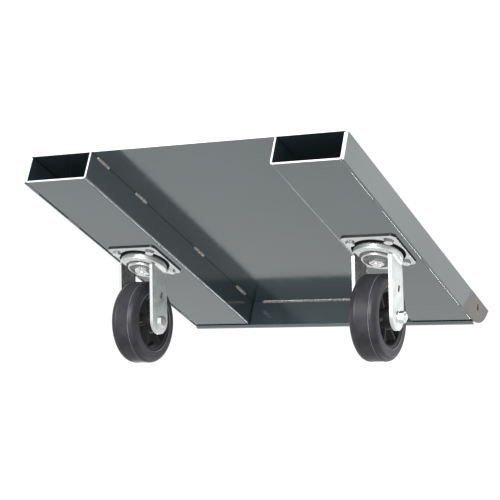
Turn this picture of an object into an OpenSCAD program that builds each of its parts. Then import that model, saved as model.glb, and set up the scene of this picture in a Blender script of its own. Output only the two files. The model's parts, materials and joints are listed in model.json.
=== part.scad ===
// Drum dolly: a sheet-steel deck on two fork channels, with two swivel casters.
// The origin is on the floor under the middle of the deck. +Z is up, and the fork
// channels open towards -Y.

/* [Deck] */
// Width of the deck across its two side skirts
deck_w = 609.6; // [520:0.1:760]
// Length of the deck from the fork entry to the far end
deck_l = 711.2; // [640:0.1:900]
// Thickness of the sheet steel
sheet = 3.2; // [2.5:0.1:3.4]
// Outer radius of a sheet bend
bend_r = 5; // [4:0.1:6]
// Radius of the rounded lower corner at the far end of each skirt
skirt_corner_r = 82; // [60:1:110]
// Radius of the tow rod hole in each skirt
tow_hole_r = 6.5; // [5:0.1:8]
// Distance of the tow rod hole from the fork entry
tow_hole_y = 650; // [648:1:665]
// Depth of the tow rod hole below the deck top
tow_hole_drop = 22; // [18:1:26]

/* [Fork channels] */
// Width of a fork channel across its two flanges
channel_w = 125.8; // [115:0.1:150]
// Height of a fork channel
channel_h = 50.8; // [48:0.1:60]
// Length of a fork channel
channel_l = 635; // [600:0.1:638]
// Depth of the return flange along the bottom of the end plate
end_flange = 9; // [8:1:24]
// Height by which the end plate hangs below the channels
end_drop = 4; // [0:0.5:6]
// Gap between the far ends of the channels and the end plate
end_gap = 5; // [0:0.5:8]
// Outer radius of the bend between the end plate and its flange
end_bend_r = 4; // [4:0.5:7]

/* [Casters] */
// Width of the caster top plate
plate_w = 101.6; // [98:0.1:110]
// Length of the caster top plate
plate_l = 114.3; // [110:0.1:120]
// Thickness of the caster top plate
plate_t = 6; // [5.6:0.1:7]
// Distance of the swivel axis from the middle of the deck, towards the fork entry
caster_back = 40; // [0:1:80]
// Distance of the axle behind the swivel axis
trail = 38; // [32:1:42]
// Diameter of the wheel
wheel_d = 152.4; // [150:0.1:154]
// Width of the tyre
tyre_w = 50.8; // [46:0.1:52]
// Diameter of the iron wheel core
core_d = 103; // [96:1:110]
// Height of the caster from the floor to the top of its plate
caster_h = 190.5; // [189:0.1:192]

/* [Hidden] */
$fn = 64;

// Colours
PAINT = [0.40, 0.43, 0.44];
WELD = [0.30, 0.31, 0.31];
ZINC = [0.80, 0.80, 0.78];
STEEL = [0.62, 0.63, 0.65];
IRON = [0.10, 0.10, 0.10];
RUBBER = [0.16, 0.16, 0.18];
BRASS = [0.72, 0.58, 0.30];

// Places on the deck
near_y = -deck_l / 2;
far_y = deck_l / 2;
channel_end_y = near_y + channel_l;
end_plate_y = channel_end_y + end_gap;
deck_bottom_z = caster_h + channel_h;
deck_top_z = deck_bottom_z + sheet;
skirt_in = deck_w / 2 - sheet;
channel_mid_x = skirt_in - channel_w / 2;
channel_in = skirt_in - channel_w;
swivel_y = -caster_back;

// Caster stack, from the plate downwards
ball_r = 3.175;
race_gap = 3;
groove_gap = 0.1;
crown_t = 6;
crown_rim_h = 5;
plate_bottom_z = caster_h - plate_t;
crown_top_z = plate_bottom_z - race_gap;
crown_inner_z = crown_top_z - crown_t;
crown_bottom_z = crown_inner_z - crown_rim_h;
cup_top_z = crown_inner_z - race_gap;
cup_t = 4;
cup_rim_h = 2.6;
cup_rim_t = 3;
cup_bottom_z = cup_top_z - cup_t;
upper_ball_z = plate_bottom_z - race_gap / 2;
lower_ball_z = crown_inner_z - race_gap / 2;
upper_pitch_r = 36;
lower_pitch_r = 20;
crown_r = 44;
cup_r = 28;
pin_r = 8;
running_gap = 0.05;
pin_head_r = 14;
pin_head_t = 4;
king_nut_h = 8;
king_nut_flats = 24;

// Plate fasteners
bolt_x = 35.7;
bolt_y = 42.1;
bolt_r = 4.76;
slot_r = 5.2;
slot_half = 4;
slot_turn = 45;
nut_flats = 14.3;
bolt_head_h = 6;
nut_h = 5.6;
washer_t = 2.4;
washer_r = 8.6;
thread_out = 1;

// Wheel and axle
axle_z = wheel_d / 2;
axle_y = swivel_y + trail;
leg_in = 31;
leg_t = 6;
leg_end_r = 26;
leg_end_up = 3;
leg_top_half = 27;
leg_slot_w = 7.5;
leg_slot_h = 12;
leg_slot_y = 21;
leg_slot_up = 42;
axle_r = 6.35;
axle_hole_r = 6.45;
sleeve_r = 8.7;
roller_r = 2.25;
roller_count = 12;
roller_half = 21;
hub_bore_r = 13.3;
hub_r = 20;
hub_half = 28.5;
retainer_t = 4.5;
rim_t = 3.5;
rim_half = 22;
web_t = 8;
rib_t = 7;
rib_count = 6;
rib_half = 17;
fitting_turn = 150;

// ---------- shared shapes ----------

// A hexagonal prism along +Z, sized across its flats
module hexagon(flats, h) {
    cylinder(r = flats / sqrt(3), h = h, $fn = 6);
}

// A hexagonal nut along +Z with a round bore
module nut(flats, h, bore) {
    difference() {
        hexagon(flats, h);
        translate([0, 0, -1]) cylinder(r = bore, h = h + 2);
    }
}

// A flat ring along +Z
module ring(outer, inner, h) {
    difference() {
        cylinder(r = outer, h = h);
        translate([0, 0, -1]) cylinder(r = inner, h = h + 2);
    }
}

// A plate along +Z with four rounded corners
module rounded_plate(w, l, h, r) {
    union() {
        translate([-w / 2, r - l / 2, 0]) cube([w, l - 2 * r, h]);
        translate([r - w / 2, -l / 2, 0]) cube([w - 2 * r, l, h]);
        for (x = [-1, 1], y = [-1, 1])
            translate([x * (w / 2 - r), y * (l / 2 - r), 0]) cylinder(r = r, h = h);
    }
}

// A straight weld bead along +Y in a corner that faces -X and -Z
module bead(length, leg) {
    translate([0, length, 0]) rotate([90, 0, 0])
        linear_extrude(height = length) polygon([[0, 0], [-leg, 0], [0, -leg]]);
}

// Puts one caster's piece at its swivel axis: side is -1 for left and 1 for right
module at_swivel(side) {
    translate([side * channel_mid_x, swivel_y, 0]) children();
}

// Puts a piece whose own axis is +Z on the axle, along +X
module at_axle(side) {
    translate([side * channel_mid_x, axle_y, axle_z]) rotate([0, 90, 0]) children();
}

// The four bolt places of one caster plate
module at_bolts() {
    for (x = [-1, 1], y = [-1, 1]) translate([x * bolt_x, y * bolt_y, 0]) children();
}

// ---------- deck and channels ----------

// The deck's side outline, y along the deck and z up: the skirt's lower far corner is
// cut to an arc that meets the far edge at the deck's top, where the bend runs on
module side_outline() {
    skirt_h = deck_top_z - caster_h;
    arc_l = sqrt(pow(skirt_corner_r, 2) - pow(skirt_corner_r - skirt_h, 2));
    difference() {
        union() {
            translate([near_y, caster_h]) square([deck_l - arc_l, skirt_h]);
            intersection() {
                translate([far_y - arc_l, caster_h]) square([arc_l, skirt_h]);
                translate([far_y - arc_l, caster_h + skirt_corner_r])
                    circle(r = skirt_corner_r, $fn = 144);
            }
            translate([near_y, deck_top_z - bend_r]) square([deck_l, bend_r]);
        }
        translate([near_y + tow_hole_y, deck_top_z - tow_hole_drop]) circle(r = tow_hole_r);
    }
}

// The cross-section of the deck: a flat top with a bent-down skirt on each side
module deck_section() {
    inner_r = bend_r - sheet;
    difference() {
        union() {
            translate([-deck_w / 2, caster_h]) square([deck_w, deck_top_z - caster_h - bend_r]);
            translate([bend_r - deck_w / 2, caster_h])
                square([deck_w - 2 * bend_r, deck_top_z - caster_h]);
            for (x = [-1, 1]) translate([x * (deck_w / 2 - bend_r), deck_top_z - bend_r])
                circle(r = bend_r);
        }
        translate([-skirt_in, caster_h - 1])
            square([2 * skirt_in, deck_bottom_z - caster_h + 1 - inner_r]);
        translate([inner_r - skirt_in, caster_h])
            square([2 * (skirt_in - inner_r), channel_h]);
        for (x = [-1, 1]) translate([x * (skirt_in - inner_r), deck_bottom_z - inner_r])
            circle(r = inner_r);
    }
}

module deck_pan() {
    color(PAINT) intersection() {
        translate([0, far_y, 0]) rotate([90, 0, 0])
            linear_extrude(height = deck_l) deck_section();
        translate([-deck_w / 2 - 1, 0, 0]) rotate([90, 0, 90])
            linear_extrude(height = deck_w + 2) side_outline();
    }
}

// The cross-section of a fork channel: flat bottom, two flanges up, bent corners
module channel_section() {
    half = channel_w / 2;
    inner_r = bend_r - sheet;
    top = channel_h;
    clear_r = bend_r - sheet + 0.3;
    difference() {
        union() {
            translate([-half, bend_r]) square([channel_w, top - bend_r]);
            translate([bend_r - half, 0]) square([channel_w - 2 * bend_r, top]);
            for (x = [-1, 1]) translate([x * (half - bend_r), bend_r]) circle(r = bend_r);
        }
        translate([sheet - half, bend_r]) square([channel_w - 2 * sheet, top]);
        translate([bend_r - half, sheet]) square([channel_w - 2 * bend_r, top]);
        for (x = [-1, 1]) translate([x * (half - bend_r), bend_r]) circle(r = inner_r);
        // The outer flange stops short of the skirt's inner bend
        translate([half - clear_r, top - clear_r]) square([clear_r + 1, clear_r + 1]);
    }
}

module fork_channel(side) {
    color(PAINT) difference() {
        translate([side * channel_mid_x, channel_end_y, caster_h]) rotate([90, 0, 0])
            linear_extrude(height = channel_l) mirror([side < 0 ? 1 : 0, 0])
                channel_section();
        at_swivel(side) translate([0, 0, caster_h - 1]) at_bolts() {
            cylinder(r = slot_r, h = sheet + 2);
        }
    }
}

module left_fork_channel() { fork_channel(-1); }
module right_fork_channel() { fork_channel(1); }

// The cross-section of the end plate: an upright of height h, a bend and the flange
module end_section(h) {
    difference() {
        union() {
            translate([0, end_bend_r]) square([sheet, h - end_bend_r]);
            translate([end_bend_r, 0]) square([end_flange - end_bend_r, sheet]);
            intersection() {
                translate([end_bend_r, end_bend_r]) circle(r = end_bend_r);
                square([end_bend_r, end_bend_r]);
            }
        }
        translate([end_bend_r, end_bend_r]) circle(r = end_bend_r - sheet);
    }
}

module end_plate() {
    color(PAINT) union() {
        translate([-skirt_in, end_plate_y, caster_h - end_drop]) rotate([90, 0, 90])
            linear_extrude(height = 2 * skirt_in) end_section(channel_h - bend_r + end_drop);
        translate([bend_r - skirt_in, end_plate_y, caster_h - end_drop]) rotate([90, 0, 90])
            linear_extrude(height = 2 * (skirt_in - bend_r)) end_section(channel_h + end_drop);
    }
}

// ---------- welds ----------

weld_leg = 4;
stitch_l = 40;
stitch_starts = [20, 152, 378, 560];
seam_leg = 2.7;
seam_starts = [4, 138, 365, 570];

// Stitches where the inner flange of each channel meets the underside of the deck
module channel_welds() {
    color(WELD) for (side = [-1, 1], start = stitch_starts)
        mirror([side < 0 ? 1 : 0, 0, 0])
            translate([channel_in, near_y + start, deck_bottom_z]) bead(stitch_l, weld_leg);
}

// Stitches in the seam between each skirt and the channel inside it
module skirt_welds() {
    color(WELD) for (side = [-1, 1], start = seam_starts)
        mirror([side < 0 ? 1 : 0, 0, 0])
            translate([skirt_in, near_y + start, caster_h]) mirror([0, 0, 1])
                bead(stitch_l, seam_leg);
}

// Beads where the end plate meets the underside of the deck between the channels
module end_plate_welds() {
    long_l = 2 * channel_in - 40;
    color(WELD) union() {
        translate([long_l / 2, end_plate_y, deck_bottom_z]) rotate([0, 0, 90])
            bead(long_l, weld_leg);
    }
}

// ---------- caster: pieces fixed to the deck ----------

module caster_plate(side) {
    color(ZINC) at_swivel(side) difference() {
        translate([0, 0, plate_bottom_z]) rounded_plate(plate_w, plate_l, plate_t, 9);
        translate([0, 0, plate_bottom_z - 1]) cylinder(r = pin_r, h = plate_t + 2);
        translate([0, 0, caster_h - pin_head_t]) cylinder(r = pin_head_r, h = pin_head_t + 1);
        translate([0, 0, plate_bottom_z - 1]) {
            for (x = [-1, 1], y = [-1, 1]) translate([x * bolt_x, y * bolt_y, 0])
                rotate([0, 0, -x * y * slot_turn]) union() {
                    translate([-slot_half, -slot_r, 0]) cube([2 * slot_half, 2 * slot_r, plate_t + 2]);
                    for (end = [-1, 1]) translate([end * slot_half, 0, 0])
                        cylinder(r = slot_r, h = plate_t + 2);
                }
        }
        translate([0, 0, upper_ball_z]) rotate_extrude($fn = 96)
            translate([upper_pitch_r, 0]) circle(r = ball_r + groove_gap);
    }
}

module plate_bolts(side) {
    shank = plate_t + sheet + washer_t + nut_h + thread_out;
    color(ZINC) at_swivel(side) at_bolts() union() {
        translate([0, 0, plate_bottom_z - bolt_head_h]) hexagon(nut_flats, bolt_head_h);
        translate([0, 0, plate_bottom_z - 1]) cylinder(r = bolt_r, h = shank + 1);
    }
}

module lock_washers(side) {
    color(ZINC) at_swivel(side) at_bolts() translate([0, 0, caster_h + sheet])
        ring(washer_r, bolt_r, washer_t);
}

module plate_nuts(side) {
    color(ZINC) at_swivel(side) at_bolts()
        translate([0, 0, caster_h + sheet + washer_t]) nut(nut_flats, nut_h, bolt_r);
}

module kingpin(side) {
    bottom_z = cup_bottom_z - king_nut_h - 3.3;
    color(ZINC) at_swivel(side) union() {
        translate([0, 0, caster_h - pin_head_t]) cylinder(r = pin_head_r, h = pin_head_t);
        translate([0, 0, bottom_z]) cylinder(r = pin_r, h = caster_h - 1 - bottom_z);
    }
}

module kingpin_nut(side) {
    color(ZINC) at_swivel(side) translate([0, 0, cup_bottom_z - king_nut_h])
        nut(king_nut_flats, king_nut_h, pin_r);
}

module lower_race(side) {
    color(STEEL) at_swivel(side) difference() {
        union() {
            translate([0, 0, cup_bottom_z]) cylinder(r = cup_r, h = cup_t);
            translate([0, 0, cup_bottom_z - cup_rim_h])
                ring(cup_r, cup_r - cup_rim_t, cup_rim_h + 1);
        }
        translate([0, 0, cup_bottom_z - 1]) cylinder(r = pin_r, h = cup_t + 2);
        translate([0, 0, lower_ball_z]) rotate_extrude($fn = 96)
            translate([lower_pitch_r, 0]) circle(r = ball_r + groove_gap);
    }
}

// A ring of separate bearing balls
module ball_ring(side, pitch_r, z, count) {
    color(STEEL) at_swivel(side) for (i = [0 : count - 1])
        rotate([0, 0, i * 360 / count]) translate([pitch_r, 0, z]) sphere(r = ball_r, $fn = 24);
}

// ---------- caster: pieces that swivel ----------

function tangent_point(p, c, r, turn) =
    let (v = p - c, d = norm(v), a = atan2(v[1], v[0]) + turn * acos(r / d))
        [c[0] + r * cos(a), c[1] + r * sin(a)];

// One fork leg's outline: y behind the swivel axis, z up
module leg_outline() {
    end = [trail, axle_z + leg_end_up];
    front_top = [-leg_top_half, crown_bottom_z - 8];
    back_top = [leg_top_half, crown_bottom_z - 8];
    union() {
        polygon([
            [-leg_top_half, crown_bottom_z], front_top,
            tangent_point(front_top, end, leg_end_r, 1), end,
            tangent_point(back_top, end, leg_end_r, -1), back_top,
            [leg_top_half, crown_bottom_z]
        ]);
        translate(end) circle(r = leg_end_r);
    }
}

module fork(side) {
    color(ZINC) at_swivel(side) difference() {
        union() {
            translate([0, 0, crown_inner_z]) cylinder(r = crown_r, h = crown_t);
            translate([0, 0, crown_bottom_z]) ring(crown_r, leg_in, crown_rim_h + 1);
            for (x = [-leg_in - leg_t, leg_in]) translate([x, 0, 0]) rotate([90, 0, 90])
                linear_extrude(height = leg_t) leg_outline();
        }
        translate([0, 0, crown_inner_z - 1]) cylinder(r = pin_r + running_gap, h = crown_t + 2);
        translate([0, 0, upper_ball_z]) rotate_extrude($fn = 96)
            translate([upper_pitch_r, 0]) circle(r = ball_r + groove_gap);
        translate([0, 0, lower_ball_z]) rotate_extrude($fn = 96)
            translate([lower_pitch_r, 0]) circle(r = ball_r + groove_gap);
        translate([-leg_in - leg_t - 1, trail, axle_z]) rotate([0, 90, 0])
            cylinder(r = axle_hole_r, h = 2 * (leg_in + leg_t + 1));
        translate([-leg_in - leg_t - 1, leg_slot_y, axle_z + leg_slot_up])
            cube([2 * (leg_in + leg_t + 1), leg_slot_w, leg_slot_h]);
    }
}

// The axle bolt's head is on the +X side of the left caster and the -X side of the right
module axle_parts(side) {
    mirror([0, 0, side < 0 ? 1 : 0]) children();
}

axle_head_h = 8;
axle_nut_h = 10;
axle_washer_t = 3;
axle_flats = 19;
leg_out = leg_in + leg_t;

module axle_bolt(side) {
    thread_end = leg_out + axle_washer_t + axle_nut_h + 3;
    color(ZINC) at_axle(side) axle_parts(side) union() {
        translate([0, 0, -leg_out - axle_head_h]) hexagon(axle_flats, axle_head_h);
        translate([0, 0, -leg_out - 1]) cylinder(r = axle_r, h = thread_end + leg_out + 1);
    }
}

module axle_lock_washer(side) {
    color(ZINC) at_axle(side) axle_parts(side) translate([0, 0, leg_out])
        ring(11, axle_r, axle_washer_t);
}

module axle_nut(side) {
    color(ZINC) at_axle(side) axle_parts(side) translate([0, 0, leg_out + axle_washer_t])
        nut(axle_flats, axle_nut_h, axle_r);
}

module bearing_sleeve(side) {
    color(STEEL) at_axle(side) translate([0, 0, -leg_in])
        ring(sleeve_r, axle_r + running_gap, 2 * leg_in);
}

module thrust_washers(side) {
    t = leg_in - hub_half - 0.3;
    color(ZINC) at_axle(side) for (z = [-leg_in, leg_in - t])
        translate([0, 0, z]) ring(17, sleeve_r, t);
}

// ---------- caster: pieces that roll ----------

module hub_rollers(side) {
    pitch_r = sleeve_r + running_gap + roller_r;
    color(STEEL) at_axle(side) for (i = [0 : roller_count - 1])
        rotate([0, 0, i * 360 / roller_count]) translate([pitch_r, 0, -roller_half])
            cylinder(r = roller_r, h = 2 * roller_half, $fn = 24);
}

module wheel_core(side) {
    rim_in = core_d / 2 - rim_t;
    color(IRON) at_axle(side) difference() {
        union() {
            translate([0, 0, -rim_half]) ring(core_d / 2, rim_in, 2 * rim_half);
            translate([0, 0, -web_t / 2]) cylinder(r = rim_in + 1, h = web_t);
            translate([0, 0, -hub_half]) cylinder(r = hub_r, h = 2 * hub_half);
            for (i = [0 : rib_count - 1]) rotate([0, 0, i * 360 / rib_count])
                translate([hub_r - 3, -rib_t / 2, -rib_half])
                    cube([rim_in - hub_r + 5, rib_t, 2 * rib_half]);
        }
        translate([0, 0, -hub_half - 1]) cylinder(r = hub_bore_r, h = 2 * hub_half + 2);
    }
}

// The tyre's cross-section: rounded shoulders and a step beside the core
module tyre_section() {
    inner = core_d / 2;
    outer = wheel_d / 2;
    half = tyre_w / 2;
    shoulder_r = 12;
    difference() {
        union() {
            translate([inner, -half]) square([outer - shoulder_r - inner, tyre_w]);
            translate([inner, shoulder_r - half])
                square([outer - inner, tyre_w - 2 * shoulder_r]);
            for (z = [-1, 1]) translate([outer - shoulder_r, z * (half - shoulder_r)])
                circle(r = shoulder_r);
        }
        for (z = [-1, 1]) translate([inner - 1, z * (rim_half + 2) - 2])
            square([4, 4]);
    }
}

module tyre(side) {
    color(RUBBER) at_axle(side) rotate_extrude($fn = 128) tyre_section();
}

module hub_retainers(side) {
    color(ZINC) at_axle(side) for (z = [-hub_half, hub_half - retainer_t])
        translate([0, 0, z]) ring(hub_bore_r, sleeve_r + running_gap, retainer_t);
}

module grease_fitting(side) {
    z = web_t / 2 + 5;
    color(BRASS) at_axle(side) rotate([0, 0, fitting_turn])
        translate([0, 0, z]) rotate([0, 90, 0]) union() {
            translate([0, 0, hub_r]) hexagon(7, 3);
            translate([0, 0, hub_r + 2]) cylinder(r = 2.2, h = 5, $fn = 24);
            translate([0, 0, hub_r + 6]) cylinder(r = 3, h = 2.5, $fn = 24);
        }
}

// ---------- named pieces of each caster ----------

module left_caster_plate() { caster_plate(-1); }
module left_plate_bolts() { plate_bolts(-1); }
module left_plate_nuts() { plate_nuts(-1); }
module left_lock_washers() { lock_washers(-1); }
module left_kingpin() { kingpin(-1); }
module left_kingpin_nut() { kingpin_nut(-1); }
module left_lower_race() { lower_race(-1); }
module left_upper_balls() { ball_ring(-1, upper_pitch_r, upper_ball_z, 30); }
module left_lower_balls() { ball_ring(-1, lower_pitch_r, lower_ball_z, 18); }
module left_fork() { fork(-1); }
module left_axle_bolt() { axle_bolt(-1); }
module left_axle_nut() { axle_nut(-1); }
module left_axle_lock_washer() { axle_lock_washer(-1); }
module left_bearing_sleeve() { bearing_sleeve(-1); }
module left_thrust_washers() { thrust_washers(-1); }
module left_hub_rollers() { hub_rollers(-1); }
module left_wheel_core() { wheel_core(-1); }
module left_tyre() { tyre(-1); }
module left_hub_retainers() { hub_retainers(-1); }
module left_grease_fitting() { grease_fitting(-1); }

module right_caster_plate() { caster_plate(1); }
module right_plate_bolts() { plate_bolts(1); }
module right_plate_nuts() { plate_nuts(1); }
module right_lock_washers() { lock_washers(1); }
module right_kingpin() { kingpin(1); }
module right_kingpin_nut() { kingpin_nut(1); }
module right_lower_race() { lower_race(1); }
module right_upper_balls() { ball_ring(1, upper_pitch_r, upper_ball_z, 30); }
module right_lower_balls() { ball_ring(1, lower_pitch_r, lower_ball_z, 18); }
module right_fork() { fork(1); }
module right_axle_bolt() { axle_bolt(1); }
module right_axle_nut() { axle_nut(1); }
module right_axle_lock_washer() { axle_lock_washer(1); }
module right_bearing_sleeve() { bearing_sleeve(1); }
module right_thrust_washers() { thrust_washers(1); }
module right_hub_rollers() { hub_rollers(1); }
module right_wheel_core() { wheel_core(1); }
module right_tyre() { tyre(1); }
module right_hub_retainers() { hub_retainers(1); }
module right_grease_fitting() { grease_fitting(1); }

deck_pan();
left_fork_channel();
right_fork_channel();
end_plate();
channel_welds();
skirt_welds();
end_plate_welds();
left_caster_plate();
left_plate_bolts();
left_plate_nuts();
left_lock_washers();
left_kingpin();
left_kingpin_nut();
left_lower_race();
left_upper_balls();
left_lower_balls();
left_fork();
left_axle_bolt();
left_axle_nut();
left_axle_lock_washer();
left_bearing_sleeve();
left_thrust_washers();
left_hub_rollers();
left_wheel_core();
left_tyre();
left_hub_retainers();
left_grease_fitting();
right_caster_plate();
right_plate_bolts();
right_plate_nuts();
right_lock_washers();
right_kingpin();
right_kingpin_nut();
right_lower_race();
right_upper_balls();
right_lower_balls();
right_fork();
right_axle_bolt();
right_axle_nut();
right_axle_lock_washer();
right_bearing_sleeve();
right_thrust_washers();
right_hub_rollers();
right_wheel_core();
right_tyre();
right_hub_retainers();
right_grease_fitting();
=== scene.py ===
import json
import math
import random

import bmesh
import bpy
from mathutils import Matrix, Vector


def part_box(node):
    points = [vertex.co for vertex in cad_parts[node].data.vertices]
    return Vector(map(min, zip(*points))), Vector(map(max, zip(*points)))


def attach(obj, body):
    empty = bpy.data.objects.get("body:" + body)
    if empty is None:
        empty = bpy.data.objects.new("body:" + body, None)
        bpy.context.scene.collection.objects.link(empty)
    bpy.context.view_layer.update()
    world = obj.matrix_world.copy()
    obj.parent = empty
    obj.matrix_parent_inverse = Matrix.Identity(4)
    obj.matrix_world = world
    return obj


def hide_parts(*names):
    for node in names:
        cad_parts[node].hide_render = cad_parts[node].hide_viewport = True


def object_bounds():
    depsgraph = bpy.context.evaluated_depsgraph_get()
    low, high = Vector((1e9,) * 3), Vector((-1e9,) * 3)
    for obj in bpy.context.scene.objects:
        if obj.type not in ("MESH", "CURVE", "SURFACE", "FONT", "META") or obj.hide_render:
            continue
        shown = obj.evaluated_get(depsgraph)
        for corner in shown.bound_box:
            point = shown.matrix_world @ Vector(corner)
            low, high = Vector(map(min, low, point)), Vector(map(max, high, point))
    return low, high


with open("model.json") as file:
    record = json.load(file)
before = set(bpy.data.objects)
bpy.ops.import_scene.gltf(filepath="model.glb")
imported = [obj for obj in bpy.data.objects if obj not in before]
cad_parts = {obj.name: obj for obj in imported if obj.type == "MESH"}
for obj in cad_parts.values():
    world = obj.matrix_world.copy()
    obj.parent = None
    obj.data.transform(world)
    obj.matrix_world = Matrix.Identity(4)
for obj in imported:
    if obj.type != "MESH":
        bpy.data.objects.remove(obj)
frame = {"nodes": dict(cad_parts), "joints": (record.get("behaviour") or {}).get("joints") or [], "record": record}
cad_low, cad_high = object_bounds()

MM = 0.001
SIDES = ("left", "right")
JOINTS = {joint["name"]: joint for joint in frame["joints"]}
SLOTS = {row["node"]: row["material_slot"] for row in frame["record"]["subparts"]}

# Camera: below the fork-entry end, to the right, looking up at the underside
CAMERA_PLACE = Vector((1.229, -2.154, -0.859))
CAMERA_AIM = Vector((-0.038, -0.003, 0.217))
CAMERA_ROLL = math.radians(10.6)
CAMERA_LENS = 105.7


# ---------- camera ----------

def make_camera():
    data = bpy.data.cameras.new("camera")
    camera = bpy.data.objects.new("camera", data)
    bpy.context.scene.collection.objects.link(camera)
    data.lens = CAMERA_LENS
    data.sensor_width = 36
    aim = (CAMERA_AIM - CAMERA_PLACE).to_track_quat("-Z", "Y")
    roll = Matrix.Rotation(CAMERA_ROLL, 4, "Z")
    camera.matrix_world = Matrix.Translation(CAMERA_PLACE) @ aim.to_matrix().to_4x4() @ roll
    data.clip_end = 100
    bpy.context.scene.camera = camera


# ---------- node helpers ----------

def new_material(name):
    """A material with one Principled shader, as (material, tree, shader)."""
    material = bpy.data.materials.new(name)
    material.use_nodes = True
    tree = material.node_tree
    return material, tree, tree.nodes["Principled BSDF"]


def set_values(shader, **values):
    """Constant values on the shader's own sockets; an underscore stands for a space."""
    for name, value in values.items():
        socket = shader.inputs[name.replace("_", " ")]
        socket.default_value = (*value, 1.0) if isinstance(value, tuple) else value


def place(tree, scale=(1, 1, 1)):
    """Object coordinates in metres, stretched by scale."""
    source = tree.nodes.new("ShaderNodeTexCoord")
    mapping = tree.nodes.new("ShaderNodeMapping")
    mapping.inputs["Scale"].default_value = scale
    tree.links.new(source.outputs["Object"], mapping.inputs["Vector"])
    return mapping.outputs["Vector"]


def noise(tree, where, scale, detail=3.0, rough=0.5):
    node = tree.nodes.new("ShaderNodeTexNoise")
    node.inputs["Scale"].default_value = scale
    node.inputs["Detail"].default_value = detail
    node.inputs["Roughness"].default_value = rough
    tree.links.new(where, node.inputs["Vector"])
    return node.outputs["Fac"]


def ramp(tree, value, stops):
    """A colour ramp: stops are (position, colour) with colour a grey or an (r, g, b)."""
    node = tree.nodes.new("ShaderNodeValToRGB")
    while len(node.color_ramp.elements) < len(stops):
        node.color_ramp.elements.new(0.5)
    for element, (position, colour) in zip(node.color_ramp.elements, stops):
        element.position = position
        rgb = colour if isinstance(colour, tuple) else (colour,) * 3
        element.color = (*rgb, 1.0)
    tree.links.new(value, node.inputs["Fac"])
    return node.outputs["Color"]


def spread(tree, value, low, high, out_low, out_high):
    """value mapped from low..high to out_low..out_high, clamped."""
    node = tree.nodes.new("ShaderNodeMapRange")
    for name, number in (("From Min", low), ("From Max", high),
                         ("To Min", out_low), ("To Max", out_high)):
        node.inputs[name].default_value = number
    tree.links.new(value, node.inputs["Value"])
    return node.outputs["Result"]


def maths(tree, operation, first, second):
    node = tree.nodes.new("ShaderNodeMath")
    node.operation = operation
    for socket, value in zip(node.inputs, (first, second)):
        if isinstance(value, (int, float)):
            socket.default_value = value
        else:
            tree.links.new(value, socket)
    return node.outputs["Value"]


def near_point(tree, where, point, reach, core=0.0):
    """1 within core metres of point, falling to 0 at reach metres."""
    node = tree.nodes.new("ShaderNodeVectorMath")
    node.operation = "DISTANCE"
    tree.links.new(where, node.inputs[0])
    node.inputs[1].default_value = point
    return spread(tree, node.outputs["Value"], core, reach, 1.0, 0.0)


def along(tree, where, direction):
    """How far where lies along a direction, in metres."""
    node = tree.nodes.new("ShaderNodeVectorMath")
    node.operation = "DOT_PRODUCT"
    tree.links.new(where, node.inputs[0])
    node.inputs[1].default_value = direction
    return node.outputs["Value"]


def blend_colours(tree, factor, first, second):
    node = tree.nodes.new("ShaderNodeMix")
    node.data_type = "RGBA"
    tree.links.new(factor, node.inputs["Factor"])
    for name, colour in (("A", first), ("B", second)):
        socket = [s for s in node.inputs if s.name == name and s.type == "RGBA"][0]
        if isinstance(colour, tuple):
            socket.default_value = (*colour, 1.0)
        else:
            tree.links.new(colour, socket)
    return [s for s in node.outputs if s.type == "RGBA"][0]


def bump(tree, shader, height, distance, strength=1.0, under=None):
    node = tree.nodes.new("ShaderNodeBump")
    node.inputs["Strength"].default_value = strength
    node.inputs["Distance"].default_value = distance
    tree.links.new(height, node.inputs["Height"])
    if under is not None:
        tree.links.new(under, node.inputs["Normal"])
    tree.links.new(node.outputs["Normal"], shader.inputs["Normal"])
    return node.outputs["Normal"]


# ---------- materials ----------

def make_paint():
    """Dark grey gloss coat on sheet steel: faint orange peel, drawn streaks, smudges."""
    material, tree, shader = new_material("grey_paint")
    here = place(tree)
    cloud = noise(tree, here, 7, 5, 0.6)
    streak = noise(tree, place(tree, (120, 2.5, 120)), 1.0, 6, 0.65)
    speck = noise(tree, here, 900, 2, 0.5)
    base = ramp(tree, cloud, [(0.3, (0.018, 0.029, 0.033)), (0.7, (0.026, 0.039, 0.044))])
    dust = spread(tree, speck, 0.68, 0.74, 0.0, 0.3)
    base = blend_colours(tree, dust, base, (0.08, 0.09, 0.09))
    # Brown tint over the outside of the right skirt's far end, light rust round its hole
    outside = spread(tree, along(tree, here, (1, 0, 0)), cad_high.x - 0.0012, cad_high.x - 0.0004, 0.0, 1.0)
    wander = spread(tree, noise(tree, here, 60, 5, 0.7), 0.3, 0.7, 0.0, 0.012)
    past = maths(tree, "ADD", along(tree, here, (0, 1, -0.72)), wander)
    tint = maths(tree, "MULTIPLY", outside, spread(tree, past, 0.080, 0.088, 0.0, 0.9))
    base = blend_colours(tree, tint, base, (0.085, 0.064, 0.048))
    mark = Vector((cad_high.x, TOW_HOLE[1], TOW_HOLE[2]))
    patchy = spread(tree, noise(tree, here, 330, 5, 0.7), 0.45, 0.60, 0.0, 1.0)
    rust = maths(tree, "MULTIPLY", near_point(tree, here, mark, 0.022, 0.006), patchy)
    base = blend_colours(tree, rust, base, (0.16, 0.060, 0.025))
    tree.links.new(base, shader.inputs["Base Color"])
    smudge = spread(tree, noise(tree, here, 22, 5, 0.7), 0.5, 0.75, 0.0, 0.08)
    gloss = spread(tree, streak, 0.35, 0.7, 0.10, 0.15)
    rough = maths(tree, "ADD", maths(tree, "ADD", gloss, smudge), maths(tree, "MULTIPLY", tint, 0.65))
    tree.links.new(rough, shader.inputs["Roughness"])
    peel = noise(tree, here, 380, 2, 0.5)
    bump(tree, shader, peel, 0.00001, 0.25)
    set_values(shader, IOR=2.4, Specular_Tint=(0.94, 0.99, 1.0))
    return material


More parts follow.
